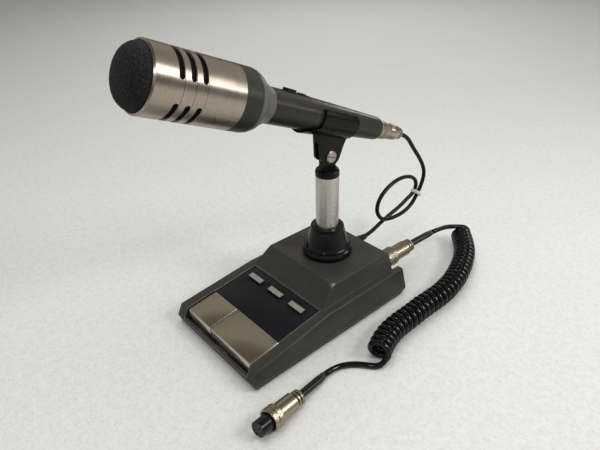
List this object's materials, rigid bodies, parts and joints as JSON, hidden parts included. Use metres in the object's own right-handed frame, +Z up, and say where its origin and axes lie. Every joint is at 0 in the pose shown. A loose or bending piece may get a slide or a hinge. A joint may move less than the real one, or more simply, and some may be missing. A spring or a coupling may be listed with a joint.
{
  "type": "desk microphone",
  "caption": "Desk microphone with a pistol-shaped dynamic head on a tilting clip and stem, a sloped base with push-to-talk and lock bars, push buttons, and a coiled cord with a round plug.",
  "frame": {"origin": "on the table, under the middle of the base", "axes": "+X to the right of a person facing the talk bars, +Y from the bars to the rear connectors, +Z up"},
  "size_m": [0.1798, 0.3651, 0.2773],
  "materials": {
    "case": "satin dark olive-grey paint on a die casting",
    "panel": "matt black anodised sheet",
    "bar": "brushed bronze-brown sheet with bright edges",
    "steel": "zinc plated",
    "ballast": "plain",
    "spring": "spring wire",
    "black_plastic": "satin black",
    "gloss_black": "gloss black",
    "button": "pale metallic grey",
    "board": "circuit board",
    "feet": "matt rubber",
    "nickel": "satin nickel",
    "head": "satin nickel",
    "mesh": "dark wire mesh",
    "foam": "open-cell black foam",
    "ring": "matt dark paint",
    "handle": "satin dark olive-grey paint",
    "cord": "glossy black sheath",
    "tie": "natural nylon",
    "capsule": "plain"
  },
  "bodies": {
    "base": {"base_case": "case", "bottom_plate": "steel", "rubber_feet": "feet", "bottom_screws": "steel", "ballast_weight": "ballast", "control_panel": "panel", "circuit_board": "board", "board_screws": "steel", "button_switches": "black_plastic", "bar_pivot_rod": "steel", "lever_bracket": "steel", "ptt_spring": "spring", "lock_spring": "spring", "lever_switches": "black_plastic", "stem_collar": "gloss_black", "stem_tube": "steel", "stem_nut": "steel", "swivel_base": "black_plastic", "mic_cord_lower": "cord", "cable_tie": "tie", "cord_gland": "black_plastic", "base_socket": "nickel", "socket_nut": "nickel", "base_plug_ring": "nickel", "base_plug_shell": "nickel", "base_plug_clamp": "nickel", "base_sleeve": "cord", "curly_lead_base": "cord", "curly_coil": "cord", "curly_lead_plug": "cord", "plug_sleeve": "cord", "plug_clamp": "nickel", "plug_shell": "nickel", "plug_insert": "black_plastic"},
    "microphone": {"mic_clip": "black_plastic", "pivot_screw": "nickel", "pivot_nut": "nickel", "head_shell": "head", "head_mesh": "mesh", "foam_windscreen": "foam", "mic_capsule": "capsule", "capsule_mount": "feet", "head_ring": "ring", "mic_handle": "handle", "switch_plate": "steel", "switch_body": "black_plastic", "mic_socket": "nickel", "mic_plug_ring": "nickel", "mic_plug_shell": "nickel", "mic_plug_clamp": "nickel", "mic_cord_upper": "cord"},
    "button_left": {"button_left": "button"},
    "button_middle": {"button_middle": "button"},
    "button_right": {"button_right": "button"},
    "ptt_bar": {"ptt_bar": "bar"},
    "lock_bar": {"lock_bar": "bar"},
    "ptt_plunger": {"ptt_plunger": "black_plastic"},
    "lock_plunger": {"lock_plunger": "black_plastic"},
    "switch_knob": {"switch_knob": "black_plastic"},
    "plug_ring": {"plug_ring": "nickel"}
  },
  "joints": [
    {"name": "mic_tilt", "type": "hinge", "parent": "base", "child": "microphone", "pos_m": [0, 0.0446, 0.1505], "axis": [1, 0, 0], "range_deg": [-15, 25], "deforming": ["mic_cord_upper"]},
    {"name": "ptt_press", "type": "hinge", "parent": "base", "child": "ptt_bar", "pos_m": [0, -0.0495, 0.0135], "axis": [1, 0, 0], "range_deg": [0, 4], "stiffness_Nm_per_rad": 0.8, "springref_deg": -1.72, "deforming": ["ptt_spring"]},
    {"name": "lock_press", "type": "hinge", "parent": "base", "child": "lock_bar", "pos_m": [0, -0.0495, 0.0135], "axis": [1, 0, 0], "range_deg": [0, 4], "deforming": ["lock_spring"]},
    {"name": "ptt_plunger_slide", "type": "slide", "parent": "base", "child": "ptt_plunger", "axis": [0, 0, 1], "range_m": [-0.0016, 0]},
    {"name": "lock_plunger_slide", "type": "slide", "parent": "base", "child": "lock_plunger", "axis": [0, 0, 1], "range_m": [-0.0016, 0]},
    {"name": "button_left_press", "type": "slide", "parent": "base", "child": "button_left", "axis": [0, 0.1326, -0.9912], "range_m": [0, 0.0012], "stiffness_N_per_m": 600, "springref_m": -0.0008},
    {"name": "button_middle_press", "type": "slide", "parent": "base", "child": "button_middle", "axis": [0, 0.1326, -0.9912], "range_m": [0, 0.0012], "stiffness_N_per_m": 600, "springref_m": -0.0008},
    {"name": "button_right_press", "type": "slide", "parent": "base", "child": "button_right", "axis": [0, 0.1326, -0.9912], "range_m": [0, 0.0012], "stiffness_N_per_m": 600, "springref_m": -0.0008},
    {"name": "switch_slide", "type": "slide", "parent": "microphone", "child": "switch_knob", "axis": [0, 0.9225, -0.3859], "range_m": [0, 0.0045]},
    {"name": "plug_ring_turn", "type": "hinge", "parent": "base", "child": "plug_ring", "pos_m": [0.09609, -0.10577, 0.01001], "axis": [-0.113, 0.9895, -0.09], "continuous": true}
  ],
  "couplings": [
    {"joint": "ptt_plunger_slide", "follows": "ptt_press", "m_per_rad": -0.021},
    {"joint": "lock_plunger_slide", "follows": "lock_press", "m_per_rad": -0.021}
  ]
}
